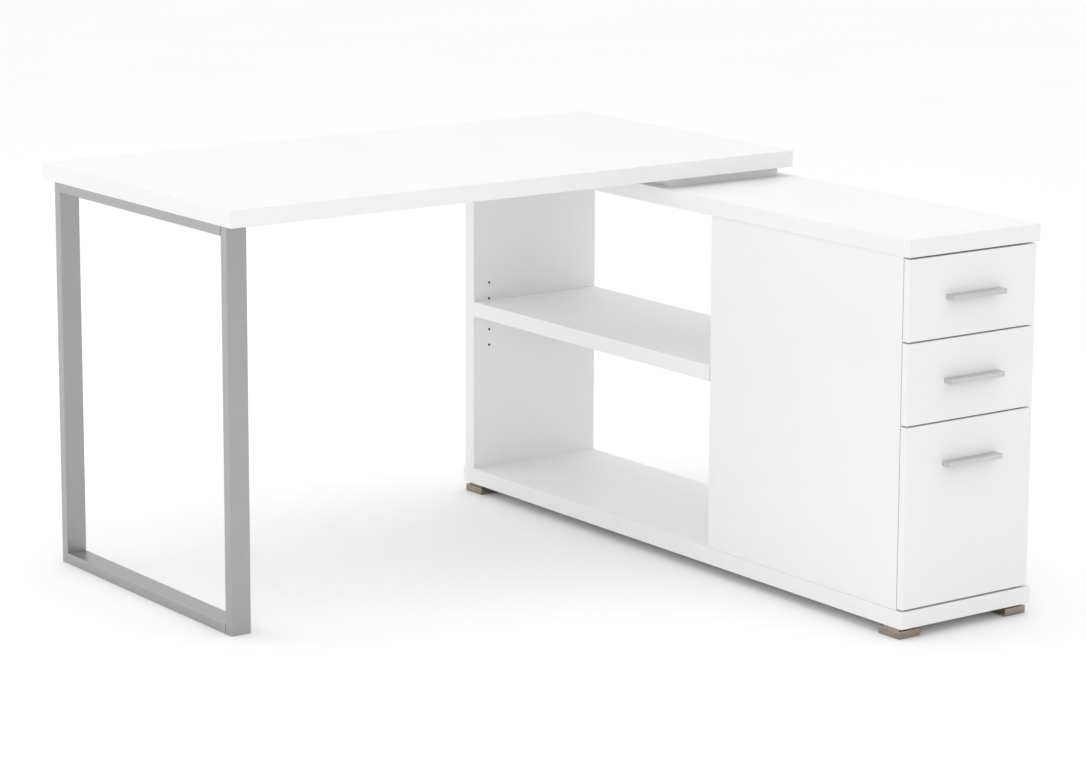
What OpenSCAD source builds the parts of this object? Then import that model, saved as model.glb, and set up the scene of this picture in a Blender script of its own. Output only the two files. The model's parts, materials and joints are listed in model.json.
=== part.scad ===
// Corner desk: a desk top on a loop leg, carried at the other end by a long low cabinet
// with open shelf bays under the desk top and drawers in front of it.
// X runs along the desk top from the loop leg to the cabinet, Y points to the back,
// the drawers open towards -Y, and the floor is Z = 0.

/* [Desk top] */
// Height of the desk top above the floor
desk_height = 756; // [730:1:780]
// Width of the desk top, along X
desk_width = 1240; // [1100:5:1400]
// Depth of the desk top, along Y
desk_depth = 670; // [600:5:720]
// Thickness of the desk top
desk_thickness = 31; // [24:1:38]
// Thickness of the upper and lower skins of the desk top
skin_thickness = 3; // [2.5:0.5:4]
// Width of the solid rails round the edge of the desk top
edge_rail_width = 45; // [40:1:60]
// Distance from wall to wall across one cell of the honeycomb core
core_cell = 80; // [60:5:120]
// Thickness of the honeycomb walls
core_wall = 2; // [1.5:0.5:3]

/* [Loop leg] */
// Size of the leg tube along X
tube_width = 40; // [36:1:50]
// Size of the leg tube across the loop
tube_depth = 20; // [18:1:25]
// Wall thickness of the leg tube
tube_wall = 1.5; // [1.2:0.1:2]
// Radius of the outer tube corners
tube_corner = 1.5; // [1.2:0.1:2]
// Distance from the left end of the desk top to the leg
leg_inset_x = 7; // [4:1:12]
// Distance from the front and back of the desk top to the posts
leg_inset_y = 27; // [20:1:34]
// Gap between a rail and a post
rail_gap = 0.8; // [0.5:0.1:1]

/* [Cabinet] */
// Length of the cabinet top and base, along Y
cabinet_length = 1335; // [1260:5:1400]
// Width of the cabinet top and base, along X
cabinet_width = 304; // [290:1:330]
// How far the cabinet stands past the right end of the desk top
cabinet_overshoot = 6; // [0:1:10]
// How far the front of the cabinet base stays behind the back edge of the desk top
cabinet_setback = 2; // [0:1:10]
// Thickness of the cabinet top and base
outer_board = 31; // [28:1:34]
// Thickness of the end panel and the shelf
thick_board = 30; // [25:1:32]
// Thickness of the side panels and the divider
thin_board = 15; // [15:0.5:16]
// Thickness of the riser board
riser_thickness = 18; // [16:1:24]
// How far the riser board stays inside the sides of the cabinet top
riser_inset = 22; // [16:1:30]
// How far the riser board stays behind the front of the desk top
riser_setback = 25; // [20:1:35]
// Length of the closed drawer section, from the front
drawer_bay_length = 540; // [530:5:600]
// How far the top and base stand past the end panel
end_overhang = 5; // [2:1:8]
// How far the side panels stay inside the edges of the top and base
side_inset = 1; // [0.5:0.5:3]

/* [Feet] */
// Height of the cabinet feet
foot_height = 20; // [18:1:24]
// Size of the foot block along X
foot_width = 48; // [40:1:55]
// Size of the foot block along Y
foot_length = 54; // [40:1:60]
// Height of the foot's neck
foot_neck_height = 6; // [4:1:8]
// How far the neck stays inside the foot block
foot_neck_inset = 6; // [4:1:8]
// How far the feet stay inside the long edges of the base
foot_side_inset = 2; // [1:1:10]
// How far the front feet stay behind the front of the base
foot_front_inset = 8; // [3:1:12]
// How far the rear feet stay inside the rear end of the base
foot_rear_inset = 5; // [3:1:12]

/* [Shelf] */
// Height of the underside of the shelf
shelf_height = 366; // [300:1:430]
// Spacing of the pin holes
pin_pitch = 32; // [32:1:32]
// Distance from a panel edge to the pin holes
pin_edge = 37; // [37:1:37]
// Radius of the pin holes
pin_hole_radius = 2.5; // [2.5:0.1:2.5]

/* [Drawers] */
// Height of the gap under the lowest front and above the highest one
front_end_gap = 3.5; // [3:0.5:5]
// Height of the gap between fronts
front_gap = 3; // [2:0.5:4]
// Height of the two shallow fronts
shallow_front = 144; // [140:1:150]
// Thickness of the fronts
front_thickness = 15; // [15:0.5:16]
// Gap between the closed fronts and the panels behind them
carcass_gap = 2; // [1:0.5:3]
// How far the fronts stay inside the outer edge of the base
front_side_gap = 8; // [4:1:9]
// Thickness of the drawer sides and back
box_board = 12; // [10:0.5:12]
// Length of the drawer sides and of the slides
slide_length = 450; // [400:10:480]
// Height of the shallow drawer boxes
shallow_box = 100; // [80:1:104]
// Height of the file drawer box
file_box = 262; // [230:1:264]
// How far a drawer opens
drawer_travel = 330; // [300:5:340]

/* [Handles] */
// Length of the handles
handle_length = 126; // [110:1:140]
// Height of the handles
handle_height = 9; // [8:0.5:12]
// How far the handles stand out from the fronts
handle_depth = 19; // [16:1:24]
// Distance from the top of a front to the middle of its handle
handle_drop = 73; // [60:1:80]

/* [Hidden] */
$fn = 48;
WHITE = [0.94, 0.94, 0.94];
WHITE_IN = [0.86, 0.86, 0.86];
SILVER = [0.70, 0.70, 0.71];
SATIN = [0.75, 0.75, 0.76];
NICKEL = [0.62, 0.58, 0.53];
ZINC = [0.72, 0.73, 0.75];
PAPER = [0.72, 0.58, 0.42];
BOARD = [0.78, 0.66, 0.50];
PLASTIC = [0.92, 0.92, 0.90];
BLACK = [0.12, 0.12, 0.12];

// Outer box of the whole desk; the origin is the middle of its footprint.
overall_w = desk_width + cabinet_overshoot;
overall_d = cabinet_length + handle_depth + cabinet_setback;
x_left = -overall_w / 2;
y_handles = -overall_d / 2;

// Desk top
desk_y1 = overall_d / 2;
desk_y0 = desk_y1 - desk_depth;
desk_x0 = x_left;
desk_x1 = x_left + desk_width;
desk_under = desk_height - desk_thickness;
frame_z0 = desk_under + skin_thickness;
frame_h = desk_thickness - 2 * skin_thickness;

// Loop leg
leg_x0 = desk_x0 + leg_inset_x;
leg_y0 = desk_y0 + leg_inset_y;
leg_y1 = desk_y1 - leg_inset_y;
leg_mid_x = leg_x0 + tube_width / 2;
rail_y0 = leg_y0 + tube_depth + rail_gap;
rail_y1 = leg_y1 - tube_depth - rail_gap;
connector_reach = 45;
connector_clearance = 0.2;
cap_thickness = 3;
cap_recess = 0.5;
leg_screw_inset = 90;
leg_screw_radius = 2.5;
leg_access_radius = 6;
leg_screw_bite = 14;
leg_screw_head = 4.8;
leg_screw_head_h = 3;
set_screw_radius = 3;
set_screw_length = 9;
set_screw_sunk = 0.2;
set_screw_key = 1.7;
set_screw_key_depth = 3;
post_screw_radius = 3;
post_screw_reach = 11;
post_screw_depth = 14;
post_screw_head = 5;
post_screw_head_h = 2;

// Cabinet
cab_x1 = x_left + overall_w;
cab_x0 = cab_x1 - cabinet_width;
cab_y0 = y_handles + handle_depth;
cab_y1 = cab_y0 + cabinet_length;
base_z0 = foot_height;
base_z1 = base_z0 + outer_board;
riser_z0 = desk_under - riser_thickness;
ctop_z1 = riser_z0;
ctop_z0 = ctop_z1 - outer_board;
panel_x0 = cab_x0 + side_inset;
panel_x1 = cab_x1 - side_inset;
side_y0 = cab_y0 + front_thickness;
side_y1 = cab_y0 + drawer_bay_length;
panel_y0 = side_y0 + carcass_gap;
end_y1 = cab_y1 - end_overhang;
end_y0 = end_y1 - thick_board;
bay_x0 = panel_x0 + thin_board;
bay_x1 = panel_x1 - thin_board;
shelf_top = shelf_height + thick_board;
shelf_slack = 0.5;
pin_sunk = 1.5;
pin_row = shelf_height + pin_sunk;
pin_steps = [-2, -1, 0, 1, 2];
pin_depth = 10;
pin_stub = 2;
pin_tongue_half = 3.5;
pin_tongue = 1.8;
pin_tongue_reach = 9;
pin_top = pin_row + pin_hole_radius;
notch_half = 4.5;
notch_depth = 11;

// Riser board and its bolts
riser_x0 = cab_x0 + riser_inset;
riser_x1 = cab_x1 - riser_inset;
riser_y0 = desk_y0 + riser_setback;
riser_y1 = desk_y1 - riser_setback;
riser_bolt_inset = 40;
riser_block_half = 30;
bolt_radius = 3;
bolt_head_radius = 6.5;
bolt_head_height = 3.5;
bolt_bite = 12;
bolt_key = 2.3;
bolt_key_depth = 2.5;

// Feet
foot_xs = [cab_x0 + foot_side_inset, cab_x1 - foot_side_inset - foot_width];
foot_ys = [cab_y0 + foot_front_inset, cab_y1 - foot_rear_inset - foot_length];
foot_middle = [foot_width / 2, foot_length / 2, 0];
foot_screw_radius = 2.5;
foot_screw_sink = 8;
foot_screw_head = 5;
foot_screw_head_h = 3;
foot_screw_bite = 18;

// Cam locks and bolts
cam_radius = 7.5;
cam_thickness = 12;
cam_bolt_radius = 3;
cam_bolt_bite = 11;
cam_reach = 34;
cam_edge = 60;
cam_slot = [4.5, 0.8];
cam_slot_depth = 2;

// Screws of the end panel
end_screw_radius = 3;
end_screw_head = 5;
end_screw_head_h = 3;
end_screw_sink = 6;
end_screw_bite = 40;

// Drawer fronts, from the top one down
front_x0 = panel_x0;
front_x1 = cab_x1 - front_side_gap;
front_mid_x = (front_x0 + front_x1) / 2;
top_front_z1 = ctop_z0 - front_end_gap;
top_front_z0 = top_front_z1 - shallow_front;
mid_front_z1 = top_front_z0 - front_gap;
mid_front_z0 = mid_front_z1 - shallow_front;
file_front_z1 = mid_front_z0 - front_gap;
file_front_z0 = base_z1 + front_end_gap;

// Drawer slides: a fixed channel on the panel, a flanged rail under the drawer side
side_space = 12.5;
slide_sheet = 1.2;
channel_h = 26;
channel_lip = 9.8;
roller_radius = 11.4;
roller_width = 7.5;
axle_radius = 2;
axle_fit = 0.05;
run_gap = 0.3;
roller_side_gap = 0.5;
roller_rim = 2;
roller_recess = 0.8;
front_roller_back = 16;
rear_roller_back = 16;
front_roller_z = channel_h / 2 + 2.8;
flange_z = front_roller_z + roller_radius + run_gap;
web_h = 16;
flange_reach = 9;
flange_under = 8;
top_lip_start = 45;
rail_hole_radius = 2.2;
tab_length = 30;
tab_rise = 5;
stop_height = 2;
stop_length = 3;
box_x0 = bay_x0 + side_space;
box_x1 = bay_x1 - side_space;
box_y1 = side_y0 + slide_length;
bottom_thickness = 3;
bottom_rise = 12;
groove_depth = 5;
groove_slack = 0.2;
box_lift = flange_z + slide_sheet;

// Back face of the stop, where the rolling circle passes over its upper edge
roller_over_flange = channel_h / 2 - slide_sheet;
stop_reach = sqrt(pow(roller_radius, 2) - pow(roller_over_flange - stop_height, 2));
stop_y1 = box_y1 - rear_roller_back - drawer_travel - stop_reach - run_gap;

// Height of the fixed channel's lower edge for each drawer
shallow_slide_drop = 12;
file_slide_rise = 3;
top_slide_z = top_front_z0 - shallow_slide_drop;
mid_slide_z = mid_front_z0 - shallow_slide_drop;
file_slide_z = file_front_z0 + file_slide_rise;

// Hanging file bars
file_bar_h = 16;
file_bar_t = 2.5;
file_bar_spacing = 322;
file_bar_front = 55;
file_bar_hook = 1.5;

// Handles
handle_x0 = front_mid_x - handle_length / 2;
handle_plate = 2.5;
handle_lip = 3;
handle_end = 8;
handle_screw_radius = 1.8;
handle_screw_depth = 12;
front_screw_radius = 2.4;

// ---------- shared shapes ----------

// A box given by its lowest corner and its highest corner.
module span(low, high) {
    translate(low) cube(high - low);
}

// A cylinder from a point along an axis, named by a letter.
module rod(at, axis, length, radius) {
    turn = axis == "x" ? [0, 90, 0] : axis == "y" ? [-90, 0, 0] : [0, 0, 0];
    translate(at) rotate(turn) cylinder(r = radius, h = length);
}

// Outline of the leg tube: a rectangle with rounded corners.
module tube_outline(w, d, r) {
    translate([r, 0]) square([w - 2 * r, d]);
    translate([0, r]) square([w, d - 2 * r]);
    for (x = [r, w - r], y = [r, d - r]) translate([x, y]) circle(r = r);
}

// Section of the leg tube, open inside.
module tube_section() {
    difference() {
        tube_outline(tube_width, tube_depth, tube_corner);
        translate([tube_wall, tube_wall])
            square([tube_width - 2 * tube_wall, tube_depth - 2 * tube_wall]);
    }
}

// ---------- desk top ----------

module desktop_skin(z) {
    span([desk_x0, desk_y0, z], [desk_x1, desk_y1, z + skin_thickness]);
}

module desktop_upper_skin() {
    color(WHITE) desktop_skin(desk_height - skin_thickness);
}

// Points on the underside of the desk top where screws go in.
function leg_screw_points() = [for (y = [leg_y0 + leg_screw_inset, leg_y1 - leg_screw_inset])
    [leg_mid_x, y]];
function riser_bolt_points() = [for (x = [riser_x0 + riser_bolt_inset, riser_x1 - riser_bolt_inset],
    y = [riser_y0 + riser_bolt_inset, riser_y1 - riser_bolt_inset]) [x, y]];

module desktop_lower_skin() {
    color(WHITE) difference() {
        desktop_skin(desk_under);
        for (p = leg_screw_points())
            rod([p.x, p.y, desk_under - 1], "z", skin_thickness + 2, leg_screw_radius);
        for (p = riser_bolt_points())
            rod([p.x, p.y, desk_under - 1], "z", skin_thickness + 2, bolt_radius);
    }
}

// Four rails round the edge, butted at the corners, and two blocks for the riser bolts.
module desktop_edge_frame() {
    w = edge_rail_width;
    z1 = frame_z0 + frame_h;
    half = riser_block_half;
    block_x0 = riser_x0 + riser_bolt_inset - half;
    color(BOARD) difference() {
        union() {
            span([desk_x0, desk_y0, frame_z0], [desk_x1, desk_y0 + w, z1]);
            span([desk_x0, desk_y1 - w, frame_z0], [desk_x1, desk_y1, z1]);
            span([desk_x0, desk_y0 + w, frame_z0], [desk_x0 + w, desk_y1 - w, z1]);
            span([desk_x1 - w, desk_y0 + w, frame_z0], [desk_x1, desk_y1 - w, z1]);
            for (y = [riser_y0 + riser_bolt_inset, riser_y1 - riser_bolt_inset])
                span([block_x0, y - half, frame_z0], [desk_x1 - w, y + half, z1]);
        }
        for (p = leg_screw_points())
            rod([p.x, p.y, frame_z0 - 1], "z", leg_screw_bite - skin_thickness + 1, leg_screw_radius);
        for (p = riser_bolt_points())
            rod([p.x, p.y, frame_z0 - 1], "z", bolt_bite - skin_thickness + 1, bolt_radius);
    }
}

// Paper honeycomb between the rails, in whole cells up to the riser blocks.
module desktop_core() {
    pitch = core_cell + core_wall;
    row = pitch * sqrt(3) / 2;
    x0 = desk_x0 + edge_rail_width;
    y0 = desk_y0 + edge_rail_width;
    w = riser_x0 + riser_bolt_inset - riser_block_half - x0;
    d = desk_depth - 2 * edge_rail_width;
    columns = ceil(w / pitch);
    rows = ceil(d / row);
    color(PAPER) translate([x0, y0, frame_z0]) linear_extrude(frame_h) difference() {
        square([w, d]);
        for (j = [0:rows], i = [0:columns]) {
            cx = (i + (j % 2) / 2) * pitch;
            if (cx > pitch / 2 && cx < w - pitch / 2 && j > 0 && j * row < d - core_cell / 2)
                translate([cx, j * row]) rotate(30) circle(r = core_cell / sqrt(3), $fn = 6);
        }
    }
}

// ---------- loop leg ----------

// Points where a rail meets a post: [y of the rail end, direction into the rail, z of its underside].
function leg_corners() = [for (z = [0, desk_under - tube_depth], s = [1, -1])
    [s > 0 ? leg_y0 + tube_depth : leg_y1 - tube_depth, s, z]];

module leg_post(y0, faces) {
    color(SILVER) difference() {
        translate([leg_x0, y0, 0]) linear_extrude(desk_under) tube_section();
        for (z = [tube_depth / 2, desk_under - tube_depth / 2])
            rod([leg_mid_x, faces > 0 ? y0 + tube_depth - tube_wall - 1 : y0 - 1, z], "y",
                tube_wall + 2, post_screw_radius);
    }
}

module leg_front_post() {
    leg_post(leg_y0, 1);
}

module leg_rear_post() {
    leg_post(leg_y1 - tube_depth, -1);
}

// A rail of the loop, with its own section turned along Y.
module leg_rail(z) {
    translate([leg_x0, rail_y1, z]) rotate([90, 0, 0])
        linear_extrude(rail_y1 - rail_y0) tube_section();
}

// Holes for the set screws, in the face of the rail that looks into the loop.
module set_screw_holes(z) {
    for (y = [rail_y0 + connector_reach / 2, rail_y1 - connector_reach / 2])
        rod([leg_mid_x, y, z - 1], "z", tube_wall + 2, set_screw_radius);
}

module leg_top_rail() {
    z = desk_under - tube_depth;
    color(SILVER) difference() {
        leg_rail(z);
        set_screw_holes(z);
        for (p = leg_screw_points()) {
            rod([p.x, p.y, z - 1], "z", tube_wall + 2, leg_access_radius);
            rod([p.x, p.y, desk_under - tube_wall - 1], "z", tube_wall + 2, leg_screw_radius);
        }
    }
}

module leg_bottom_rail() {
    color(SILVER) difference() {
        leg_rail(0);
        set_screw_holes(tube_depth - tube_wall);
    }
}

// A block that fills the rail end and is screwed to the post.
module leg_connectors() {
    c = tube_wall + connector_clearance;
    color(BLACK) for (k = leg_corners()) {
        y0 = k[1] > 0 ? k[0] : k[0] - connector_reach;
        post_screw_y = k[1] > 0 ? y0 - 1 : y0 + connector_reach - post_screw_depth;
        set_screw_y = k[0] + k[1] * (rail_gap + connector_reach / 2);
        mid_z = k[2] + tube_depth / 2;
        difference() {
            span([leg_x0 + c, y0, k[2] + c],
                [leg_x0 + tube_width - c, y0 + connector_reach, k[2] + tube_depth - c]);
            rod([leg_mid_x, post_screw_y, mid_z], "y", post_screw_depth + 1, post_screw_radius);
            rod([leg_mid_x, set_screw_y, k[2] > tube_depth ? k[2] : mid_z], "z", tube_depth / 2,
                set_screw_radius);
        }
    }
}

// The screws from the posts into the connectors, and the set screws that clamp the rails.
module leg_connector_screws() {
    color(ZINC) for (k = leg_corners()) {
        s = k[1];
        top = k[2] > tube_depth;
        inner = k[0] - s * tube_wall;
        mid_z = k[2] + tube_depth / 2;
        rod([leg_mid_x, s > 0 ? inner : k[0] - post_screw_reach, mid_z], "y",
            post_screw_reach + tube_wall, post_screw_radius);
        rod([leg_mid_x, s > 0 ? inner - post_screw_head_h : inner, mid_z], "y",
            post_screw_head_h, post_screw_head);
        difference() {
            z = top ? k[2] + set_screw_sunk : k[2] + tube_depth - set_screw_length - set_screw_sunk;
            y = k[0] + s * (rail_gap + connector_reach / 2);
            rod([leg_mid_x, y, z], "z", set_screw_length, set_screw_radius);
            translate([leg_mid_x, y, top ? z - 1 : z + set_screw_length - set_screw_key_depth])
                cylinder(r = set_screw_key, h = set_screw_key_depth + 1, $fn = 6);
        }
    }
}

// Plastic caps pressed into the four open ends of the posts.
module leg_end_caps() {
    c = tube_wall + 0.1;
    ends = [cap_recess, desk_under - cap_recess - cap_thickness];
    color(BLACK) for (y = [leg_y0, leg_y1 - tube_depth], z = ends)
        span([leg_x0 + c, y + c, z],
            [leg_x0 + tube_width - c, y + tube_depth - c, z + cap_thickness]);
}

// Pan head screws through the top rail into the desk top.
module leg_mounting_screws() {
    seat = desk_under - tube_wall;
    color(ZINC) for (p = leg_screw_points()) {
        rod([p.x, p.y, seat], "z", tube_wall + leg_screw_bite, leg_screw_radius);
        rod([p.x, p.y, seat - leg_screw_head_h], "z", leg_screw_head_h, leg_screw_head);
    }
}

// ---------- panels ----------

// Places of the cam locks: [x, y, face axis, face coordinate, direction into the panel].
function cam_columns() = concat(
    [for (x = [bay_x0 + cam_edge, bay_x1 - cam_edge])
        [x, side_y1 - thin_board / 2, "y", side_y1 - thin_board, 1]],
    [for (y = [side_y0 + cam_edge, side_y1 - thin_board - cam_edge])
        [panel_x0 + thin_board / 2, y, "x", bay_x0, -1]],
    [for (y = [side_y0 + cam_edge, side_y1 - thin_board - cam_edge])
        [panel_x1 - thin_board / 2, y, "x", bay_x1, 1]]);
cam_levels = [base_z1 + cam_reach, ctop_z0 - cam_reach];

// A disc or a bore at one cam place, from the panel's face into the panel.
module cam_disc(c, z, depth, radius, proud) {
    along = c[4] > 0 ? c[3] - proud : c[3] - depth;
    if (c[2] == "y") rod([c[0], along, z], "y", depth + proud, radius);
    else rod([along, c[1], z], "x", depth + proud, radius);
}

// Cuts for the cam locks and for the bolts that run up or down the panel's edge.
module cam_cuts(first, last) {
    cams = cam_columns();
    for (i = [first:last]) {
        c = cams[i];
        for (z = cam_levels) cam_disc(c, z, cam_thickness + 0.3, cam_radius, 1);
        rod([c[0], c[1], base_z1 - 1], "z", cam_reach + 1, cam_bolt_radius + 0.5);
        rod([c[0], c[1], ctop_z0 - cam_reach], "z", cam_reach + 1, cam_bolt_radius + 0.5);
    }
}

// Sockets in the cabinet top and base that take the cam bolts.
module cam_sockets() {
    for (c = cam_columns()) {
        rod([c[0], c[1], base_z1 - cam_bolt_bite], "z", cam_bolt_bite + 1, cam_bolt_radius);
        rod([c[0], c[1], ctop_z0 - 1], "z", cam_bolt_bite + 1, cam_bolt_radius);
    }
}

module cabinet_top() {
    color(WHITE) difference() {
        span([cab_x0, cab_y0, ctop_z0], [cab_x1, cab_y1, ctop_z1]);
        cam_sockets();
        end_screw_bores(ctop_z0, ctop_z1, ctop_z1 - end_screw_sink);
        for (p = riser_bolt_points()) {
            rod([p.x, p.y, ctop_z0 - 1], "z", outer_board + 2, bolt_radius + 0.5);
            rod([p.x, p.y, ctop_z0 - 1], "z", bolt_head_height + 1, bolt_head_radius + 0.5);
        }
    }
}

module cabinet_base() {
    color(WHITE) difference() {
        span([cab_x0, cab_y0, base_z0], [cab_x1, cab_y1, base_z1]);
        cam_sockets();
        end_screw_bores(base_z0, base_z1, base_z0 - 1);
        for (x = foot_xs, y = foot_ys)
            rod([x, y, base_z0 - 1] + foot_middle, "z", foot_screw_bite + 1, foot_screw_radius);
    }
}

// X of the pins, and [x, z] of the pin holes: a column on the knee side, one hole on the other.
pin_xs = [panel_x0 + pin_edge, panel_x1 - pin_edge];
pin_hole_places = concat([for (k = pin_steps) [pin_xs[0], pin_row + k * pin_pitch]],
    [[pin_xs[1], pin_row]]);

// The pin holes in one panel's face, going in along +Y or -Y.
module pin_holes(face_y, direction) {
    for (h = pin_hole_places)
        rod([h[0], direction > 0 ? face_y - 1 : face_y - pin_depth, h[1]], "y", pin_depth + 1,
            pin_hole_radius);
}

// Middles of the long screws that hold the end panel between the top and the base.
function end_screw_points() = [for (x = [panel_x0 + cam_edge, panel_x1 - cam_edge])
    [x, end_y0 + thick_board / 2]];

// Bores for the end panel screws through a board, with a counterbore on its outer face.
module end_screw_bores(z0, z1, counterbore_z) {
    for (p = end_screw_points()) {
        rod([p.x, p.y, z0 - 1], "z", z1 - z0 + 2, end_screw_radius + 0.3);
        rod([p.x, p.y, counterbore_z], "z", end_screw_sink + 1, end_screw_head + 0.5);
    }
}

module end_panel() {
    color(WHITE) difference() {
        span([panel_x0, end_y0, base_z1], [panel_x1, end_y1, ctop_z0]);
        pin_holes(end_y0, 1);
        for (p = end_screw_points()) {
            rod([p.x, p.y, base_z1 - 1], "z", end_screw_bite + 1, end_screw_radius);
            rod([p.x, p.y, ctop_z0 - end_screw_bite], "z", end_screw_bite + 1, end_screw_radius);
        }
    }
}

// Two screws up through the base and two down through the cabinet top.
module end_panel_screws() {
    color(ZINC) for (p = end_screw_points()) {
        low = base_z0 + end_screw_sink;
        high = ctop_z1 - end_screw_sink;
        rod([p.x, p.y, low], "z", base_z1 + end_screw_bite - low, end_screw_radius);
        rod([p.x, p.y, low - end_screw_head_h], "z", end_screw_head_h, end_screw_head);
        rod([p.x, p.y, ctop_z0 - end_screw_bite], "z", high - ctop_z0 + end_screw_bite,
            end_screw_radius);
        rod([p.x, p.y, high], "z", end_screw_head_h, end_screw_head);
    }
}

module divider_panel() {
    color(WHITE) difference() {
        span([bay_x0, side_y1 - thin_board, base_z1], [bay_x1, side_y1, ctop_z0]);
        cam_cuts(0, 1);
        pin_holes(side_y1, -1);
    }
}

module inner_side_panel() {
    color(WHITE) difference() {
        span([panel_x0, panel_y0, base_z1], [bay_x0, side_y1, ctop_z0]);
        cam_cuts(2, 3);
    }
}

module outer_side_panel() {
    color(WHITE) difference() {
        span([bay_x1, panel_y0, base_z1], [panel_x1, side_y1, ctop_z0]);
        cam_cuts(4, 5);
    }
}

// The shelf, with a notch in its underside over each pin.
module shelf() {
    color(WHITE) difference() {
        span([panel_x0, side_y1 + shelf_slack, shelf_height],
            [panel_x1, end_y0 - shelf_slack, shelf_top]);
        for (x = pin_xs, y = [side_y1, end_y0 - notch_depth])
            span([x - notch_half, y, shelf_height - 1], [x + notch_half, y + notch_depth, pin_top]);
    }
}

// A pin in its hole with a flat tongue that carries the shelf.
module shelf_pins() {
    color(ZINC) for (x = pin_xs, s = [1, -1]) {
        face = s > 0 ? side_y1 : end_y0;
        rod([x, s > 0 ? face - pin_depth + 1 : face - pin_stub, pin_row], "y",
            pin_depth - 1 + pin_stub, pin_hole_radius);
        span([x - pin_tongue_half, s > 0 ? face : face - pin_tongue_reach, pin_top - pin_tongue],
            [x + pin_tongue_half, s > 0 ? face + pin_tongue_reach : face, pin_top]);
    }
}

module riser_board() {
    color(WHITE) difference() {
        span([riser_x0, riser_y0, riser_z0], [riser_x1, riser_y1, desk_under]);
        for (p = riser_bolt_points())
            rod([p.x, p.y, riser_z0 - 1], "z", riser_thickness + 2, bolt_radius + 0.5);
    }
}

// Bolts up through the cabinet top and the riser board into the desk top.
module riser_bolts() {
    seat = ctop_z0 + bolt_head_height;
    color(ZINC) for (p = riser_bolt_points()) difference() {
        union() {
            rod([p.x, p.y, seat], "z", desk_under + bolt_bite - seat, bolt_radius);
            rod([p.x, p.y, ctop_z0], "z", bolt_head_height, bolt_head_radius);
        }
        translate([p.x, p.y, ctop_z0 - 1]) cylinder(r = bolt_key, h = bolt_key_depth + 1, $fn = 6);
    }
}

// ---------- feet ----------

module foot(x, y) {
    color(NICKEL) translate([x, y, 0]) difference() {
        union() {
            cube([foot_width, foot_length, foot_height - foot_neck_height]);
            translate([foot_neck_inset, foot_neck_inset, 0])
                cube([foot_width - 2 * foot_neck_inset, foot_length - 2 * foot_neck_inset, foot_height]);
        }
        translate([0, 0, -1] + foot_middle) {
            cylinder(r = foot_screw_radius + 0.3, h = foot_height + 2);
            cylinder(r = foot_screw_head + 0.5, h = foot_screw_sink + 1);
        }
    }
}

module foot_front_inner() {
    foot(foot_xs[0], foot_ys[0]);
}

module foot_front_outer() {
    foot(foot_xs[1], foot_ys[0]);
}

module foot_rear_inner() {
    foot(foot_xs[0], foot_ys[1]);
}

module foot_rear_outer() {
    foot(foot_xs[1], foot_ys[1]);
}

module foot_screws() {
    color(ZINC) for (x = foot_xs, y = foot_ys) translate([x, y, 0] + foot_middle) {
        translate([0, 0, foot_screw_sink])
            cylinder(r = foot_screw_radius, h = foot_height + foot_screw_bite - foot_screw_sink);
        translate([0, 0, foot_screw_sink - foot_screw_head_h])
            cylinder(r = foot_screw_head, h = foot_screw_head_h);
    }
}

// ---------- cam fittings ----------

module cam_locks() {
    color(ZINC) for (c = cam_columns(), z = cam_levels) difference() {
        cam_disc(c, z, cam_thickness, cam_radius - 0.1, 0);
        rod([c[0], c[1], z > shelf_height ? z : z - cam_radius - 1], "z", cam_radius + 1,
            cam_bolt_radius + 0.4);
        cross_slot(c, z);
    }
}

// Screwdriver slot in the visible face of a cam lock.
module cross_slot(c, z) {
    deep = cam_slot_depth + 1;
    for (turn = [cam_slot, [cam_slot[1], cam_slot[0]]]) {
        if (c[2] == "y")
            translate([c[0] - turn[0], c[3] - 1, z - turn[1]]) cube([2 * turn[0], deep, 2 * turn[1]]);
        else
            translate([c[4] > 0 ? c[3] - 1 : c[3] - cam_slot_depth, c[1] - turn[0], z - turn[1]])
                cube([deep, 2 * turn[0], 2 * turn[1]]);
    }
}

module cam_bolts() {
    length = cam_bolt_bite + cam_reach - 4;
    color(ZINC) for (c = cam_columns()) {
        rod([c[0], c[1], base_z1 - cam_bolt_bite], "z", length, cam_bolt_radius);
        rod([c[0], c[1], ctop_z0 + cam_bolt_bite - length], "z", length, cam_bolt_radius);
    }
}

// ---------- drawer slides ----------

// A slide is drawn for the inner panel; the outer one is its mirror image.
module both_sides() {
    children();
    translate([bay_x0 + bay_x1, 0, 0]) mirror([1, 0, 0]) children();
}

// Fixed channel: web on the panel, lower flange, an upper flange behind the front roller,
// and a stop across the lower flange that the drawer's roller meets when the drawer is open.
module cabinet_rail(z) {
    x = bay_x0;
    difference() {
        union() {
            span([x, panel_y0, z], [x + slide_sheet, box_y1, z + channel_h]);
            span([x, panel_y0, z], [x + channel_lip, box_y1, z + slide_sheet]);
            span([x, side_y0 + top_lip_start, z + channel_h - slide_sheet],
                [x + channel_lip, box_y1, z + channel_h]);
            span([x, stop_y1 - stop_length, z],
                [x + channel_lip, stop_y1, z + slide_sheet + stop_height]);
            rod([x, side_y0 + front_roller_back, z + front_roller_z], "x", channel_lip, axle_radius);
        }
        for (y = [side_y0 + 80, side_y0 + 230, box_y1 - 60])
            rod([x - 1, y, z + channel_h / 2], "x", slide_sheet + 2, rail_hole_radius);
    }
}

module cabinet_rails() {
    for (z = [top_slide_z, mid_slide_z, file_slide_z]) cabinet_rail(z);
}

module cabinet_rails_inner() {
    color(ZINC) cabinet_rails();
}

module cabinet_rails_outer() {
    color(ZINC) translate([bay_x0 + bay_x1, 0, 0]) mirror([1, 0, 0]) cabinet_rails();
}

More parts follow.
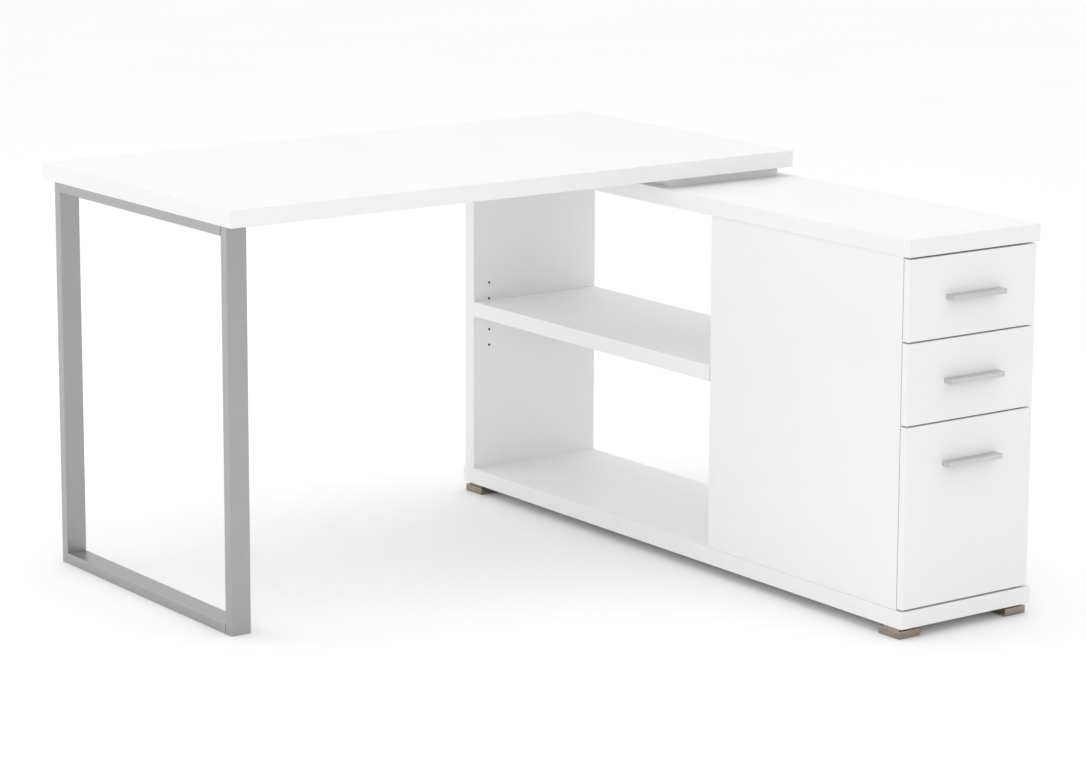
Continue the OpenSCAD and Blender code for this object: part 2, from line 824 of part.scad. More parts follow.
// Roller with its bore, on an axle that stands out from the panel or from the drawer side.
module slide_roller(y, z, x) {
    difference() {
        rod([x, y, z], "x", roller_width, roller_radius);
        rod([x - 1, y, z], "x", roller_width + 2, axle_radius + axle_fit);
        for (f = [x - 1, x + roller_width - roller_recess]) difference() {
            rod([f, y, z], "x", roller_recess + 1, roller_radius - roller_rim);
            rod([f - 1, y, z], "x", roller_recess + 3, axle_radius + roller_rim);
        }
    }
}

module cabinet_rollers(z) {
    color(PLASTIC) both_sides()
        slide_roller(side_y0 + front_roller_back, z + front_roller_z,
            bay_x0 + slide_sheet + roller_side_gap);
}

module drawer_rollers(z) {
    color(PLASTIC) both_sides()
        slide_roller(box_y1 - rear_roller_back, z + channel_h / 2,
            box_x0 - slide_sheet - roller_side_gap - roller_width);
}

// Moving rail: flange under the drawer side and over the front roller, web up the side,
// and a tab at the back that carries the rear roller's axle.
module drawer_rail(z) {
    x = box_x0;
    y = box_y1 - rear_roller_back;
    difference() {
        union() {
            span([x - flange_reach, side_y0 + 2, z + flange_z],
                [x + flange_under, box_y1, z + flange_z + slide_sheet]);
            span([x - slide_sheet, side_y0 + 2, z + flange_z],
                [x, box_y1, z + flange_z + slide_sheet + web_h]);
            span([x - slide_sheet, box_y1 - tab_length, z + tab_rise],
                [x, box_y1, z + flange_z + slide_sheet]);
            rod([x - slide_sheet - roller_width - 1, y, z + channel_h / 2], "x", roller_width + 1.5,
                axle_radius);
        }
        for (s = [side_y0 + 60, side_y0 + 210, box_y1 - 70])
            rod([x - slide_sheet - 1, s, z + flange_z + 10], "x", slide_sheet + 2, rail_hole_radius);
    }
}

module drawer_rails(z) {
    color(ZINC) both_sides() drawer_rail(z);
}

// ---------- drawers ----------

// Front panel with its two handle screw holes.
module drawer_front(z0, z1) {
    color(WHITE) difference() {
        span([front_x0, cab_y0, z0], [front_x1, side_y0, z1]);
        for (x = handle_screw_xs())
            rod([x, cab_y0 - 1, z1 - handle_drop], "y", front_thickness + 2, front_screw_radius);
    }
}

function handle_screw_xs() = [handle_x0 + handle_end / 2, handle_x0 + handle_length - handle_end / 2];
function box_z0(slide_z) = slide_z + box_lift;

// Side panel of a drawer box, from its outer face inwards, with a groove for the bottom.
module drawer_side(slide_z, height, left) {
    z0 = box_z0(slide_z);
    x0 = left ? box_x0 : box_x1 - box_board;
    groove_x = left ? x0 + box_board - groove_depth : x0 - 1;
    color(WHITE_IN) difference() {
        span([x0, side_y0, z0], [x0 + box_board, box_y1, z0 + height]);
        span([groove_x, side_y0 - 1, z0 + bottom_rise],
            [groove_x + groove_depth + 1, box_y1 + 1, z0 + bottom_rise + bottom_thickness]);
    }
}

module drawer_back(slide_z, height) {
    z0 = box_z0(slide_z) + bottom_rise + bottom_thickness;
    color(WHITE_IN) span([box_x0 + box_board, box_y1 - box_board, z0],
        [box_x1 - box_board, box_y1, box_z0(slide_z) + height]);
}

module drawer_bottom(slide_z) {
    z0 = box_z0(slide_z) + bottom_rise;
    tuck = groove_depth - groove_slack;
    color(WHITE_IN) span([box_x0 + box_board - tuck, side_y0, z0],
        [box_x1 - box_board + tuck, box_y1, z0 + bottom_thickness]);
}

// Channel pull: top plate, front lip and two solid ends, open underneath for the fingers.
module handle(z1) {
    mid = z1 - handle_drop;
    low = mid - handle_height / 2;
    high = mid + handle_height / 2;
    x1 = handle_x0 + handle_length;
    y0 = y_handles;
    color(SATIN) difference() {
        union() {
            span([handle_x0, y0, high - handle_plate], [x1, cab_y0, high]);
            span([handle_x0, y0, low], [x1, y0 + handle_lip, high]);
            for (x = [handle_x0, x1 - handle_end]) span([x, y0, low], [x + handle_end, cab_y0, high]);
        }
        for (x = handle_screw_xs())
            rod([x, cab_y0 - handle_screw_depth, mid], "y", handle_screw_depth + 1, handle_screw_radius);
    }
}

module top_drawer_front() {
    drawer_front(top_front_z0, top_front_z1);
}

module top_drawer_left_side() {
    drawer_side(top_slide_z, shallow_box, true);
}

module top_drawer_right_side() {
    drawer_side(top_slide_z, shallow_box, false);
}

module top_drawer_back() {
    drawer_back(top_slide_z, shallow_box);
}

module top_drawer_bottom() {
    drawer_bottom(top_slide_z);
}

module top_drawer_handle() {
    handle(top_front_z1);
}

module top_drawer_rails() {
    drawer_rails(top_slide_z);
}

module top_cabinet_rollers() {
    cabinet_rollers(top_slide_z);
}

module top_drawer_rollers() {
    drawer_rollers(top_slide_z);
}

module middle_drawer_front() {
    drawer_front(mid_front_z0, mid_front_z1);
}

module middle_drawer_left_side() {
    drawer_side(mid_slide_z, shallow_box, true);
}

module middle_drawer_right_side() {
    drawer_side(mid_slide_z, shallow_box, false);
}

module middle_drawer_back() {
    drawer_back(mid_slide_z, shallow_box);
}

module middle_drawer_bottom() {
    drawer_bottom(mid_slide_z);
}

module middle_drawer_handle() {
    handle(mid_front_z1);
}

module middle_drawer_rails() {
    drawer_rails(mid_slide_z);
}

module middle_cabinet_rollers() {
    cabinet_rollers(mid_slide_z);
}

module middle_drawer_rollers() {
    drawer_rollers(mid_slide_z);
}

module file_drawer_front() {
    drawer_front(file_front_z0, file_front_z1);
}

module file_drawer_left_side() {
    drawer_side(file_slide_z, file_box, true);
}

module file_drawer_right_side() {
    drawer_side(file_slide_z, file_box, false);
}

module file_drawer_back() {
    drawer_back(file_slide_z, file_box);
}

module file_drawer_bottom() {
    drawer_bottom(file_slide_z);
}

module file_drawer_handle() {
    handle(file_front_z1);
}

module file_drawer_rails() {
    drawer_rails(file_slide_z);
}

module file_cabinet_rollers() {
    cabinet_rollers(file_slide_z);
}

module file_drawer_rollers() {
    drawer_rollers(file_slide_z);
}

// Two bars across the file drawer that hook over its sides.
module file_drawer_hanging_bars() {
    z1 = box_z0(file_slide_z) + file_box;
    color(ZINC) for (y = [side_y0 + file_bar_front, side_y0 + file_bar_front + file_bar_spacing]) {
        span([box_x0 + box_board, y, z1 - file_bar_h], [box_x1 - box_board, y + file_bar_t, z1]);
        span([box_x0 + 2, y, z1], [box_x1 - 2, y + file_bar_t, z1 + file_bar_hook]);
    }
}

desktop_upper_skin();
desktop_lower_skin();
desktop_edge_frame();
desktop_core();
leg_front_post();
leg_rear_post();
leg_top_rail();
leg_bottom_rail();
leg_connectors();
leg_connector_screws();
leg_end_caps();
leg_mounting_screws();
cabinet_top();
cabinet_base();
end_panel();
divider_panel();
inner_side_panel();
outer_side_panel();
shelf();
shelf_pins();
riser_board();
riser_bolts();
foot_front_inner();
foot_front_outer();
foot_rear_inner();
foot_rear_outer();
foot_screws();
cam_locks();
cam_bolts();
end_panel_screws();
cabinet_rails_inner();
cabinet_rails_outer();
top_drawer_front();
top_drawer_left_side();
top_drawer_right_side();
top_drawer_back();
top_drawer_bottom();
top_drawer_handle();
top_drawer_rails();
top_cabinet_rollers();
top_drawer_rollers();
middle_drawer_front();
middle_drawer_left_side();
middle_drawer_right_side();
middle_drawer_back();
middle_drawer_bottom();
middle_drawer_handle();
middle_drawer_rails();
middle_cabinet_rollers();
middle_drawer_rollers();
file_drawer_front();
file_drawer_left_side();
file_drawer_right_side();
file_drawer_back();
file_drawer_bottom();
file_drawer_handle();
file_drawer_rails();
file_cabinet_rollers();
file_drawer_rollers();
file_drawer_hanging_bars();
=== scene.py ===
import json
import math

import bmesh
import bpy
from mathutils import Matrix, Vector


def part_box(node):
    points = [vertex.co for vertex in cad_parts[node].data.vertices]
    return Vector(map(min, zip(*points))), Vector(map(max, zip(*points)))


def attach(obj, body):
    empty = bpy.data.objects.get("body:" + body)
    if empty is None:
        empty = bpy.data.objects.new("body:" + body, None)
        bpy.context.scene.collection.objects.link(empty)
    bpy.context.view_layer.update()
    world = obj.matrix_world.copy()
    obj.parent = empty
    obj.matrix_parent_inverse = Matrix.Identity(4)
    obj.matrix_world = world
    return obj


MM = 0.001
DRAWERS = ("top", "middle", "file")

# Camera: where it stands, which way it looks and how long its lens is
CAMERA_PLACE = (-3.602, -4.995, 1.7125)
CAMERA_HEADING = 35.99
CAMERA_DOWN = 10.35
CAMERA_ROLL = 0.20
CAMERA_LENS = 114.98
CAMERA_SHIFT_Y = -0.10
SENSOR_WIDTH = 36.0

# Strength of the studio light from all round: even, from behind the desk and from above
WORLD_EVEN = 0.56
WORLD_BEHIND = 0.24
WORLD_ABOVE = 1.03

# Softboxes: name, where each hangs, the point it faces, its diameter in metres and its watts
SOFTBOXES = (
    ("camera_side_light", (-2.8, -3.6, 1.8), (0, 0, 0.5), 2.4, 25),
    ("overhead_light", (0, 0, 4.0), (0, 0, 0.4), 3.4, 14),
    ("left_back_light", (-3.4, 3.8, 1.5), (-0.2, 0.2, 0.4), 2.0, 20),
)
FLOOR_RADIUS = 40.0

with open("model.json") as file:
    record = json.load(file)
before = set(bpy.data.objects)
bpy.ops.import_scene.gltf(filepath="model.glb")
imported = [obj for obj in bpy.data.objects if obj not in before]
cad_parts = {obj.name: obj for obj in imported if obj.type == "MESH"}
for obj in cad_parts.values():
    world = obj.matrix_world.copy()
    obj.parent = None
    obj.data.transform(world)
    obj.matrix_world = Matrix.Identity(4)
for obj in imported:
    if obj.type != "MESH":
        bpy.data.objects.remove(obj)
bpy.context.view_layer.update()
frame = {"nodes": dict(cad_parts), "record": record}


# ---------- materials ----------

class Finish:
    """A material being made: one Principled shader and the nodes that feed it."""

    def __init__(self, name, **constants):
        self.material = bpy.data.materials.new(name)
        self.material.use_nodes = True
        self.tree = self.material.node_tree
        self.tree.nodes.clear()
        output = self.tree.nodes.new("ShaderNodeOutputMaterial")
        self.shader = self.tree.nodes.new("ShaderNodeBsdfPrincipled")
        self.tree.links.new(self.shader.outputs["BSDF"], output.inputs["Surface"])
        for socket, value in constants.items():
            self.shader.inputs[socket.replace("_", " ")].default_value = value
        self.place = self.tree.nodes.new("ShaderNodeTexCoord").outputs["Object"]

    def stretched(self, scale):
        """The object's own coordinates, scaled by a different amount along each axis."""
        mapping = self.tree.nodes.new("ShaderNodeMapping")
        mapping.inputs["Scale"].default_value = scale
        self.tree.links.new(self.place, mapping.inputs["Vector"])
        return mapping.outputs["Vector"]

    def noise(self, scale, detail=2.0, roughness=0.5, place=None):
        node = self.tree.nodes.new("ShaderNodeTexNoise")
        node.inputs["Scale"].default_value = scale
        node.inputs["Detail"].default_value = detail
        node.inputs["Roughness"].default_value = roughness
        self.tree.links.new(place or self.place, node.inputs["Vector"])
        return node.outputs["Fac"]

    def cells(self, scale, output="Color", place=None):
        node = self.tree.nodes.new("ShaderNodeTexVoronoi")
        node.inputs["Scale"].default_value = scale
        self.tree.links.new(place or self.place, node.inputs["Vector"])
        return node.outputs[output]

    def spread(self, value, low, high, start=0.3, end=0.7):
        """Turns a value from start to end into one from low to high."""
        node = self.tree.nodes.new("ShaderNodeMapRange")
        node.inputs["From Min"].default_value = start
        node.inputs["From Max"].default_value = end
        node.inputs["To Min"].default_value = low
        node.inputs["To Max"].default_value = high
        self.tree.links.new(value, node.inputs["Value"])
        return node.outputs["Result"]

    def add(self, first, second):
        node = self.tree.nodes.new("ShaderNodeMath")
        node.operation = "ADD"
        self.tree.links.new(first, node.inputs[0])
        self.tree.links.new(second, node.inputs[1])
        return node.outputs["Value"]

    def colours(self, value, low, high, start=0.3, end=0.7):
        """Colours the surface from low to high by a value."""
        ramp = self.tree.nodes.new("ShaderNodeValToRGB")
        ramp.color_ramp.elements[0].position = start
        ramp.color_ramp.elements[1].position = end
        ramp.color_ramp.elements[0].color = (*low, 1)
        ramp.color_ramp.elements[1].color = (*high, 1)
        self.tree.links.new(value, ramp.inputs["Fac"])
        self.tree.links.new(ramp.outputs["Color"], self.shader.inputs["Base Color"])

    def roughness(self, value):
        self.tree.links.new(value, self.shader.inputs["Roughness"])

    def bump(self, height, strength, distance):
        node = self.tree.nodes.new("ShaderNodeBump")
        node.inputs["Strength"].default_value = strength
        node.inputs["Distance"].default_value = distance
        self.tree.links.new(height, node.inputs["Height"])
        self.tree.links.new(node.outputs["Normal"], self.shader.inputs["Normal"])


def white_laminate(name, gloss=0.0):
    """Satin melamine: a faint pearl grain, and a sheet that isn't perfectly flat."""
    finish = Finish(name, Specular_IOR_Level=0.42)
    finish.colours(finish.noise(3.0, 3.0), (0.850, 0.852, 0.853), (0.872, 0.873, 0.872))
    pearl = finish.noise(900, 2.0)
    cloud = finish.spread(finish.noise(9.0, 4.0), 0.30 - gloss, 0.38 - gloss)
    finish.roughness(finish.add(cloud, finish.spread(pearl, -0.02, 0.02)))
    finish.bump(pearl, 0.12, 0.06 * MM)
    return finish.material


def drawer_foil():
    """Matt white foil on the thin boards of the drawer boxes, with a weak printed grain."""
    finish = Finish("drawer_foil", Specular_IOR_Level=0.3)
    grain = finish.noise(1.0, 4.0, 0.6, finish.stretched((260, 7, 260)))
    finish.colours(grain, (0.800, 0.797, 0.785), (0.838, 0.836, 0.826))
    finish.roughness(finish.spread(grain, 0.52, 0.62))
    finish.bump(grain, 0.10, 0.08 * MM)
    return finish.material


def kraft_paper():
    """Brown paper of the honeycomb core, with its fibres."""
    finish = Finish("kraft_paper", Specular_IOR_Level=0.15)
    fibres = finish.noise(1.0, 6.0, 0.7, finish.stretched((420, 90, 260)))
    finish.colours(fibres, (0.34, 0.21, 0.11), (0.52, 0.36, 0.21))
    finish.roughness(finish.spread(fibres, 0.82, 0.95))
    finish.bump(fibres, 0.35, 0.2 * MM)
    return finish.material


def silver_paint():
    """Silver powder coat: fine metal flakes under a slightly pebbled satin film."""
    finish = Finish("silver_paint", Metallic=0.80, Specular_IOR_Level=0.5)
    flakes = finish.cells(1300)
    finish.colours(flakes, (0.36, 0.36, 0.365), (0.435, 0.435, 0.44), 0.1, 0.9)
    pebble = finish.noise(420, 3.0)
    finish.roughness(finish.spread(pebble, 0.28, 0.38))
    finish.bump(pebble, 0.16, 0.08 * MM)
    return finish.material


def satin_aluminium():
    """Anodised aluminium of the handles, brushed along their length."""
    finish = Finish("satin_aluminium", Metallic=1.0, Anisotropic=0.4)
    brush = finish.noise(1.0, 3.0, 0.6, finish.stretched((14, 1500, 1500)))
    finish.colours(brush, (0.56, 0.56, 0.565), (0.68, 0.68, 0.685))
    finish.roughness(finish.spread(brush, 0.30, 0.44))
    finish.bump(brush, 0.15, 0.03 * MM)
    return finish.material


def satin_nickel():
    """Polished nickel plate of the feet, warm, with a faint brushed grain."""
    finish = Finish("satin_nickel", Metallic=1.0)
    brush = finish.noise(1.0, 3.0, 0.6, finish.stretched((22, 22, 1400)))
    finish.colours(brush, (0.27, 0.235, 0.195), (0.38, 0.335, 0.285))
    finish.roughness(finish.spread(brush, 0.12, 0.22))
    finish.bump(brush, 0.15, 0.03 * MM)
    return finish.material


def zinc_steel():
    """Bright zinc plate on pressed steel and screws: a cool grey with a faint crystal pattern."""
    finish = Finish("zinc_steel", Metallic=1.0)
    crystals = finish.cells(160)
    finish.colours(crystals, (0.53, 0.54, 0.555), (0.61, 0.62, 0.635), 0.1, 0.9)
    finish.roughness(finish.spread(finish.noise(220, 3.0), 0.24, 0.38))
    finish.bump(finish.noise(700, 2.0), 0.08, 0.05 * MM)
    return finish.material


def roller_nylon():
    """Moulded nylon: milky white with faint flow marks."""
    finish = Finish("roller_nylon", Specular_IOR_Level=0.4)
    flow = finish.noise(90, 3.0)
    finish.colours(flow, (0.74, 0.735, 0.71), (0.80, 0.797, 0.775))
    finish.roughness(finish.spread(flow, 0.36, 0.48))
    finish.bump(finish.noise(1400, 1.0), 0.10, 0.05 * MM)
    return finish.material


def black_plastic():
    """Matt moulded plastic with a fine spark-eroded texture."""
    finish = Finish("black_plastic", Specular_IOR_Level=0.4)
    texture = finish.noise(1100, 2.0)
    finish.colours(texture, (0.016, 0.016, 0.017), (0.028, 0.028, 0.029))
    finish.roughness(finish.spread(texture, 0.52, 0.66))
    finish.bump(texture, 0.25, 0.08 * MM)
    return finish.material


def studio_floor():
    """Plain pale floor with a barely visible mottle."""
    finish = Finish("studio_floor", Specular_IOR_Level=0.0)
    mottle = finish.noise(1.2, 4.0)
    finish.colours(mottle, (0.935, 0.935, 0.935), (0.945, 0.945, 0.945))
    finish.roughness(finish.spread(mottle, 0.80, 0.90))
    finish.bump(finish.noise(160, 2.0), 0.02, 0.1 * MM)
    return finish.material


FINISHES = {
    "white_laminate": white_laminate("white_laminate"),
    "drawer_box": drawer_foil(),
    "core_paper": kraft_paper(),
    "silver_paint": silver_paint(),
    "satin_aluminium": satin_aluminium(),
    "satin_nickel": satin_nickel(),
    "zinc_steel": zinc_steel(),
    "roller_nylon": roller_nylon(),
    "black_plastic": black_plastic(),
}
EDGE_TAPE = white_laminate("white_edge_tape", gloss=0.03)


# ---------- CAD nodes ----------

# Tape that goes round a whole board, with the highest and the lowest node it covers
RING_BANDED = {
    "desk_top_edge_tape": ("desktop_upper_skin", "desktop_lower_skin"),
    "cabinet_top_edge_tape": ("cabinet_top", "cabinet_top"),
    "cabinet_base_edge_tape": ("cabinet_base", "cabinet_base"),
}
# Boards with tape on their two long edges only
SIDE_BANDED = ("shelf", "end_panel")
# Every node under tape, and the width of its edge rounding
UNDER_TAPE = {"desktop_edge_frame", *SIDE_BANDED}
UNDER_TAPE.update(*RING_BANDED.values())
TAPED_ROUNDING = 0.12 * MM

# Edge rounding of the other CAD nodes, by material slot
ROUNDING = {
    "white_laminate": 0.5 * MM,
    "drawer_box": 0.4 * MM,
    "silver_paint": 0.3 * MM,
    "satin_aluminium": 0.5 * MM,
    "satin_nickel": 0.6 * MM,
    "zinc_steel": 0.2 * MM,
    "roller_nylon": 0.3 * MM,
    "black_plastic": 0.3 * MM,
}


def soften(piece, width):
    """Rounds a mesh's sharp edges and shades it smoothly, with modifiers only."""
    weld = piece.modifiers.new("weld", "WELD")
    weld.merge_threshold = 0.002 * MM
    faces = piece.modifiers.new("faces", "DECIMATE")
    faces.decimate_type = "DISSOLVE"
    faces.angle_limit = math.radians(0.5)
    rounding = piece.modifiers.new("rounding", "BEVEL")
    rounding.width = width
    rounding.segments = 2
    rounding.limit_method = "ANGLE"
    rounding.angle_limit = math.radians(35)
    rounding.use_clamp_overlap = False
    normals = piece.modifiers.new("normals", "WEIGHTED_NORMAL")
    normals.keep_sharp = True


def dress_cad_nodes():
    """Gives every CAD node its finish, and soft edges where its material has them."""
    for part in frame["record"]["subparts"]:
        node = frame["nodes"][part["node"]]
        slot = part["material_slot"]
        node.data.materials.clear()
        node.data.materials.append(FINISHES[slot])
        if part["node"] in UNDER_TAPE:
            soften(node, TAPED_ROUNDING)
        elif slot in ROUNDING:
            soften(node, ROUNDING[slot])


# ---------- pieces: edge tape, pin hole sleeves and screw heads ----------

# Tape: thickness, rounding of its outer edges, and its inner radius at a board's corner
TAPE = 0.8 * MM
TAPE_ROUNDING = 0.45 * MM
TAPE_CORNER = 0.6 * MM
ARC_STEPS = 4

# Shelf pin holes: from the panel's edge, spacing, and the pins' height over the shelf's underside
PIN_EDGE = 37 * MM
PIN_PITCH = 32 * MM
PIN_ABOVE_UNDERSIDE = 1.5 * MM
FREE_PIN_STEPS = (-2, -1, 1, 2)
# Section of a sleeve: radius and depth in the hole, in mm
SLEEVE_SECTION = ((2.44, 9.0), (2.44, 0.1), (2.1, 0.1), (1.9, 8.5))
ROUND_STEPS = 20

# Thickness of the slides' sheet, and the radius and height of each kind of screw head
RAIL_SHEET = 1.2 * MM
RAIL_HEAD = (3.4 * MM, 0.9 * MM)
HANDLE_HEAD = (4.0 * MM, 1.8 * MM)
# Profile of a screw head as shares of its radius and height, and its cross recess
HEAD_PROFILE = ((1.0, 0.0), (1.0, 0.35), (0.94, 0.68), (0.80, 0.92))
RECESS_REACH = 0.62
RECESS_HALF = 0.17
RECESS_TAPER = 0.72
RECESS_FLOOR = 0.35

# Screws of the fixed and of the moving rails: distances from the front board, and from the rear end
FIXED_FROM_FRONT = (80 * MM, 230 * MM)
FIXED_FROM_REAR = 60 * MM
MOVING_FROM_FRONT = (60 * MM, 210 * MM)
MOVING_FROM_REAR = 70 * MM
# Heights of those screws: above the moving rail's lowest point, and below its upper edge
FIXED_RISE = 8 * MM
MOVING_DROP = 7.2 * MM
HANDLE_SCREW_INSET = 4 * MM


def arc(centre, radius, start, end):
    """Points along an arc, angles in degrees."""
    angles = [math.radians(start + (end - start) * k / ARC_STEPS) for k in range(ARC_STEPS + 1)]
    return [(centre[0] + radius * math.cos(a), centre[1] + radius * math.sin(a)) for a in angles]


def tape_section(bottom, top):
    """Section of the tape as (distance out from the board, height), its outer edges rounded."""
    inside = TAPE - TAPE_ROUNDING
    lower = arc((inside, bottom + TAPE_ROUNDING), TAPE_ROUNDING, -90, 0)
    upper = arc((inside, top - TAPE_ROUNDING), TAPE_ROUNDING, 0, 90)
    return [(0, bottom), *lower, *upper, (0, top)]


def loft(shape, loops, closed):
    """Faces between loops of points that all have the same length."""
    rows = [[shape.verts.new(point) for point in loop] for loop in loops]
    pairs = list(zip(rows, rows[1:] + rows[:1])) if closed else list(zip(rows, rows[1:]))
    for one, two in pairs:
        for k in range(len(one)):
            n = (k + 1) % len(one)
            shape.faces.new((one[k], one[n], two[n], two[k]))
    if not closed:
        shape.faces.new(rows[0])
        shape.faces.new(rows[-1])


def add_piece(name, shape, material, body):
    """Makes a piece of a finished shape, smooth-shaded, that moves with a body."""
    bmesh.ops.recalc_face_normals(shape, faces=shape.faces)
    mesh = bpy.data.meshes.new(name)
    shape.to_mesh(mesh)
    shape.free()
    mesh.materials.append(material)
    mesh.shade_smooth()
    piece = bpy.data.objects.new(name, mesh)
    bpy.context.scene.collection.objects.link(piece)
    normals = piece.modifiers.new("normals", "WEIGHTED_NORMAL")
    normals.keep_sharp = True
    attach(piece, body)


def ring_tape(name, upper, lower):
    """Tape round all four edges of a board that lies flat."""
    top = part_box(upper)[1]
    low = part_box(lower)[0]
    x0, x1 = low.x + TAPE_CORNER, top.x - TAPE_CORNER
    y0, y1 = low.y + TAPE_CORNER, top.y - TAPE_CORNER
    corners = [(x1, y1, 0), (x0, y1, 90), (x0, y0, 180), (x1, y0, 270)]
    section = tape_section(low.z, top.z)
    loops = []
    for x, y, start in corners:
        for k in range(ARC_STEPS + 1):
            angle = math.radians(start + 90 * k / ARC_STEPS)
            across = [(TAPE_CORNER + out, z) for out, z in section]
            loops.append([(x + r * math.cos(angle), y + r * math.sin(angle), z) for r, z in across])
    shape = bmesh.new()
    loft(shape, loops, closed=True)
    add_piece(name, shape, EDGE_TAPE, "frame")


def side_tape(board):
    """Tape on the two long edges of the shelf or of the end panel, which face -X and +X."""
    low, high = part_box(board)
    flat = board == "shelf"
    section = tape_section(low.z, high.z) if flat else tape_section(low.y, high.y)
    ends = (low.y, high.y) if flat else (low.z, high.z)
    shape = bmesh.new()
    for x, way in ((low.x, -1), (high.x, 1)):
        loops = [
            [(x + way * out, end, at) if flat else (x + way * out, at, end) for out, at in section]
            for end in ends
        ]
        loft(shape, loops, closed=False)
    add_piece(board + "_edge_tape", shape, EDGE_TAPE, "frame")


def circle(middle, radius, direction, depth):
    """Points round a point that lies depth along direction, which is 1 for +Y or -1 for -Y."""
    x, y, z = middle
    turns = [2 * math.pi * k / ROUND_STEPS for k in range(ROUND_STEPS)]
    return [
        (x + radius * math.cos(a), y + direction * depth, z + radius * math.sin(a)) for a in turns
    ]


def pin_hole_shade_sleeves():
    """Black plastic sleeves in the shelf pin holes that no pin uses: painted shade, dark plastic
    standing in for the shade deep inside the holes.
    """
    shape = bmesh.new()
    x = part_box("end_panel")[0].x + PIN_EDGE
    pin_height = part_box("shelf")[0].z + PIN_ABOVE_UNDERSIDE
    for face, way in ((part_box("end_panel")[0].y, 1), (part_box("divider_panel")[1].y, -1)):
        for step in FREE_PIN_STEPS:
            mouth = (x, face, pin_height + step * PIN_PITCH)
            loops = [circle(mouth, r * MM, way, depth * MM) for r, depth in SLEEVE_SECTION]
            loft(shape, loops, closed=False)
    # Painted shade: the black sleeves darken the free pin holes in place of their shade.
    add_piece("pin_hole_shade_sleeves", shape, FINISHES["black_plastic"], "frame")


def cross_edge(angle, half, reach):
    """How far a cross-shaped recess reaches from its middle in a direction, in degrees."""
    x, y = abs(math.cos(math.radians(angle))), abs(math.sin(math.radians(angle)))
    return max(min(reach / max(p, 1e-9), half / max(q, 1e-9)) for p, q in ((x, y), (y, x)))


def screw_head(shape, place, direction, radius, height):
    """A pan head with a cross recess. It sits on a face at place and points along direction."""
    reach = RECESS_REACH * radius
    half = RECESS_HALF * radius
    corner = math.degrees(math.atan2(half, reach))
    quarter = (-corner, 0, corner, (corner + 45) / 2, 45, (135 - corner) / 2)
    angles = [90 * k + a for k in range(4) for a in quarter]
    turn = Vector(direction).to_track_quat("Z", "Y")

    def ring(radii, z):
        points = []
        for r, angle in zip(radii, angles):
            a = math.radians(angle)
            points.append(Vector(place) + turn @ Vector((r * math.cos(a), r * math.sin(a), z)))
        return points

    recess = [cross_edge(a, half, reach) for a in angles]
    loops = [ring([radius * r] * len(angles), height * z) for r, z in HEAD_PROFILE]
    loops.append(ring(recess, height))
    loops.append(ring([r * RECESS_TAPER for r in recess], height * RECESS_FLOOR))
    loft(shape, loops, closed=False)


def drawer_places(drawer):
    """What places a drawer's screws: the back of its front board, and the box of its moving rails."""
    front_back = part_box(drawer + "_drawer_front")[1].y
    rails_low, rails_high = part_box(drawer + "_drawer_rails")
    return front_back, rails_low, rails_high


def pair_of_heads(shape, left, right, outward, y, z):
    """Two rail screws that face each other, or that face away from each other."""
    screw_head(shape, (left, y, z), (-outward, 0, 0), *RAIL_HEAD)
    screw_head(shape, (right, y, z), (outward, 0, 0), *RAIL_HEAD)


def cabinet_rail_screws():
    """Screws that hold the fixed rails to the side panels."""
    shape = bmesh.new()
    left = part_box("cabinet_rails_inner")[0].x + RAIL_SHEET
    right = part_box("cabinet_rails_outer")[1].x - RAIL_SHEET
    for drawer in DRAWERS:
        front_back, rails_low, rails_high = drawer_places(drawer)
        places = [front_back + distance for distance in FIXED_FROM_FRONT]
        for y in (*places, rails_high.y - FIXED_FROM_REAR):
            pair_of_heads(shape, left, right, -1, y, rails_low.z + FIXED_RISE)
    add_piece("cabinet_rail_screws", shape, FINISHES["zinc_steel"], "frame")


def drawer_screws(drawer, body):
    """Screws of the moving rails, and the two that hold the handle from inside the front."""
    shape = bmesh.new()
    front_back, _, rails_high = drawer_places(drawer)
    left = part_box(drawer + "_drawer_left_side")[0].x - RAIL_SHEET
    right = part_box(drawer + "_drawer_right_side")[1].x + RAIL_SHEET
    places = [front_back + distance for distance in MOVING_FROM_FRONT]
    for y in (*places, rails_high.y - MOVING_FROM_REAR):
        pair_of_heads(shape, left, right, 1, y, rails_high.z - MOVING_DROP)
    handle_low, handle_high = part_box(drawer + "_drawer_handle")
    middle = (handle_low.z + handle_high.z) / 2
    for x in (handle_low.x + HANDLE_SCREW_INSET, handle_high.x - HANDLE_SCREW_INSET):
        screw_head(shape, (x, front_back, middle), (0, 1, 0), *HANDLE_HEAD)
    add_piece(drawer + "_drawer_screws", shape, FINISHES["zinc_steel"], body)


# ---------- light, floor and camera ----------

def make_floor():
    """The plain pale floor, a wide disc."""
    mesh = bpy.data.meshes.new("studio_floor")
    shape = bmesh.new()
    bmesh.ops.create_circle(shape, cap_ends=True, segments=96, radius=FLOOR_RADIUS)
    shape.to_mesh(mesh)
    shape.free()
    mesh.materials.append(studio_floor())
    floor = bpy.data.objects.new("studio_floor", mesh)
    bpy.context.scene.collection.objects.link(floor)


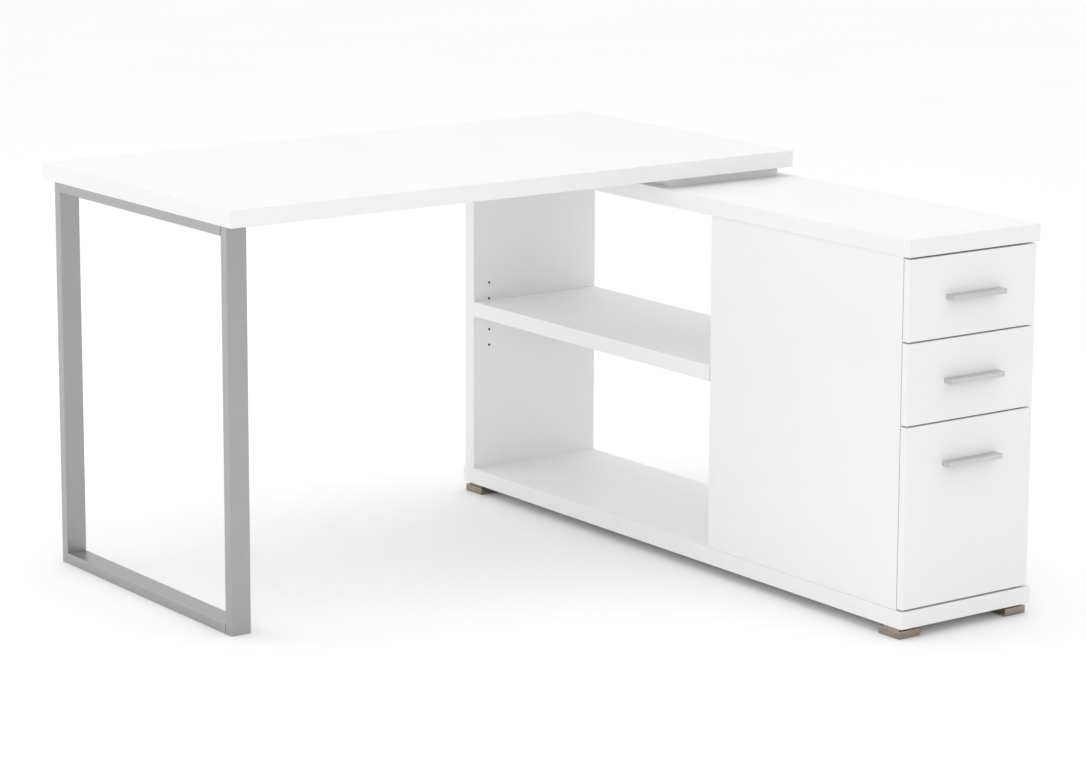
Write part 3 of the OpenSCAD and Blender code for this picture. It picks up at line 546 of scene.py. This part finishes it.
def make_world():
    """A white studio: even light, stronger from behind the desk and strongest from above."""
    world = bpy.data.worlds.new("studio")
    bpy.context.scene.world = world
    world.use_nodes = True
    tree = world.node_tree
    tree.nodes.clear()

    def math_node(operation, first, second):
        node = tree.nodes.new("ShaderNodeMath")
        node.operation = operation
        for socket, value in zip(node.inputs, (first, second)):
            if isinstance(value, float):
                socket.default_value = value
            else:
                tree.links.new(value, socket)
        return node.outputs["Value"]

    direction = tree.nodes.new("ShaderNodeTexCoord").outputs["Generated"]
    parts = tree.nodes.new("ShaderNodeSeparateXYZ")
    tree.links.new(direction, parts.inputs["Vector"])
    behind = math_node("MULTIPLY", math_node("MAXIMUM", parts.outputs["Y"], 0.0), WORLD_BEHIND)
    above = math_node("MULTIPLY", math_node("MAXIMUM", parts.outputs["Z"], 0.0), WORLD_ABOVE)
    level = math_node("ADD", math_node("ADD", behind, above), WORLD_EVEN)
    light = tree.nodes.new("ShaderNodeBackground")
    tree.links.new(level, light.inputs["Strength"])
    output = tree.nodes.new("ShaderNodeOutputWorld")
    tree.links.new(light.outputs["Background"], output.inputs["Surface"])


def soft_light(name, place, aim, size, power):
    """A round softbox that the camera doesn't see."""
    lamp = bpy.data.lights.new(name, "AREA")
    lamp.shape = "DISK"
    lamp.size = size
    lamp.energy = power
    light = bpy.data.objects.new(name, lamp)
    light.location = place
    light.rotation_euler = (Vector(aim) - Vector(place)).to_track_quat("-Z", "Y").to_euler()
    light.visible_camera = False
    bpy.context.scene.collection.objects.link(light)


def make_camera():
    """A long lens from the left front, a little above the desk top."""
    lens = bpy.data.cameras.new("camera")
    lens.lens = CAMERA_LENS
    lens.sensor_width = SENSOR_WIDTH
    lens.shift_y = CAMERA_SHIFT_Y
    lens.clip_end = 200
    camera = bpy.data.objects.new("camera", lens)
    heading = Matrix.Rotation(math.radians(-CAMERA_HEADING), 3, "Z")
    tilt = Matrix.Rotation(math.radians(90 - CAMERA_DOWN), 3, "X")
    roll = Matrix.Rotation(math.radians(CAMERA_ROLL), 3, "Z")
    camera.rotation_euler = (heading @ tilt @ roll).to_euler()
    camera.location = CAMERA_PLACE
    bpy.context.scene.collection.objects.link(camera)
    bpy.context.scene.camera = camera


dress_cad_nodes()
for tape, boards in RING_BANDED.items():
    ring_tape(tape, *boards)
for board in SIDE_BANDED:
    side_tape(board)
pin_hole_shade_sleeves()
cabinet_rail_screws()
for drawer in DRAWERS:
    drawer_screws(drawer, drawer + "_drawer")
make_floor()
make_world()
for softbox in SOFTBOXES:
    soft_light(*softbox)
make_camera()
bpy.context.scene.view_settings.view_transform = "Standard"
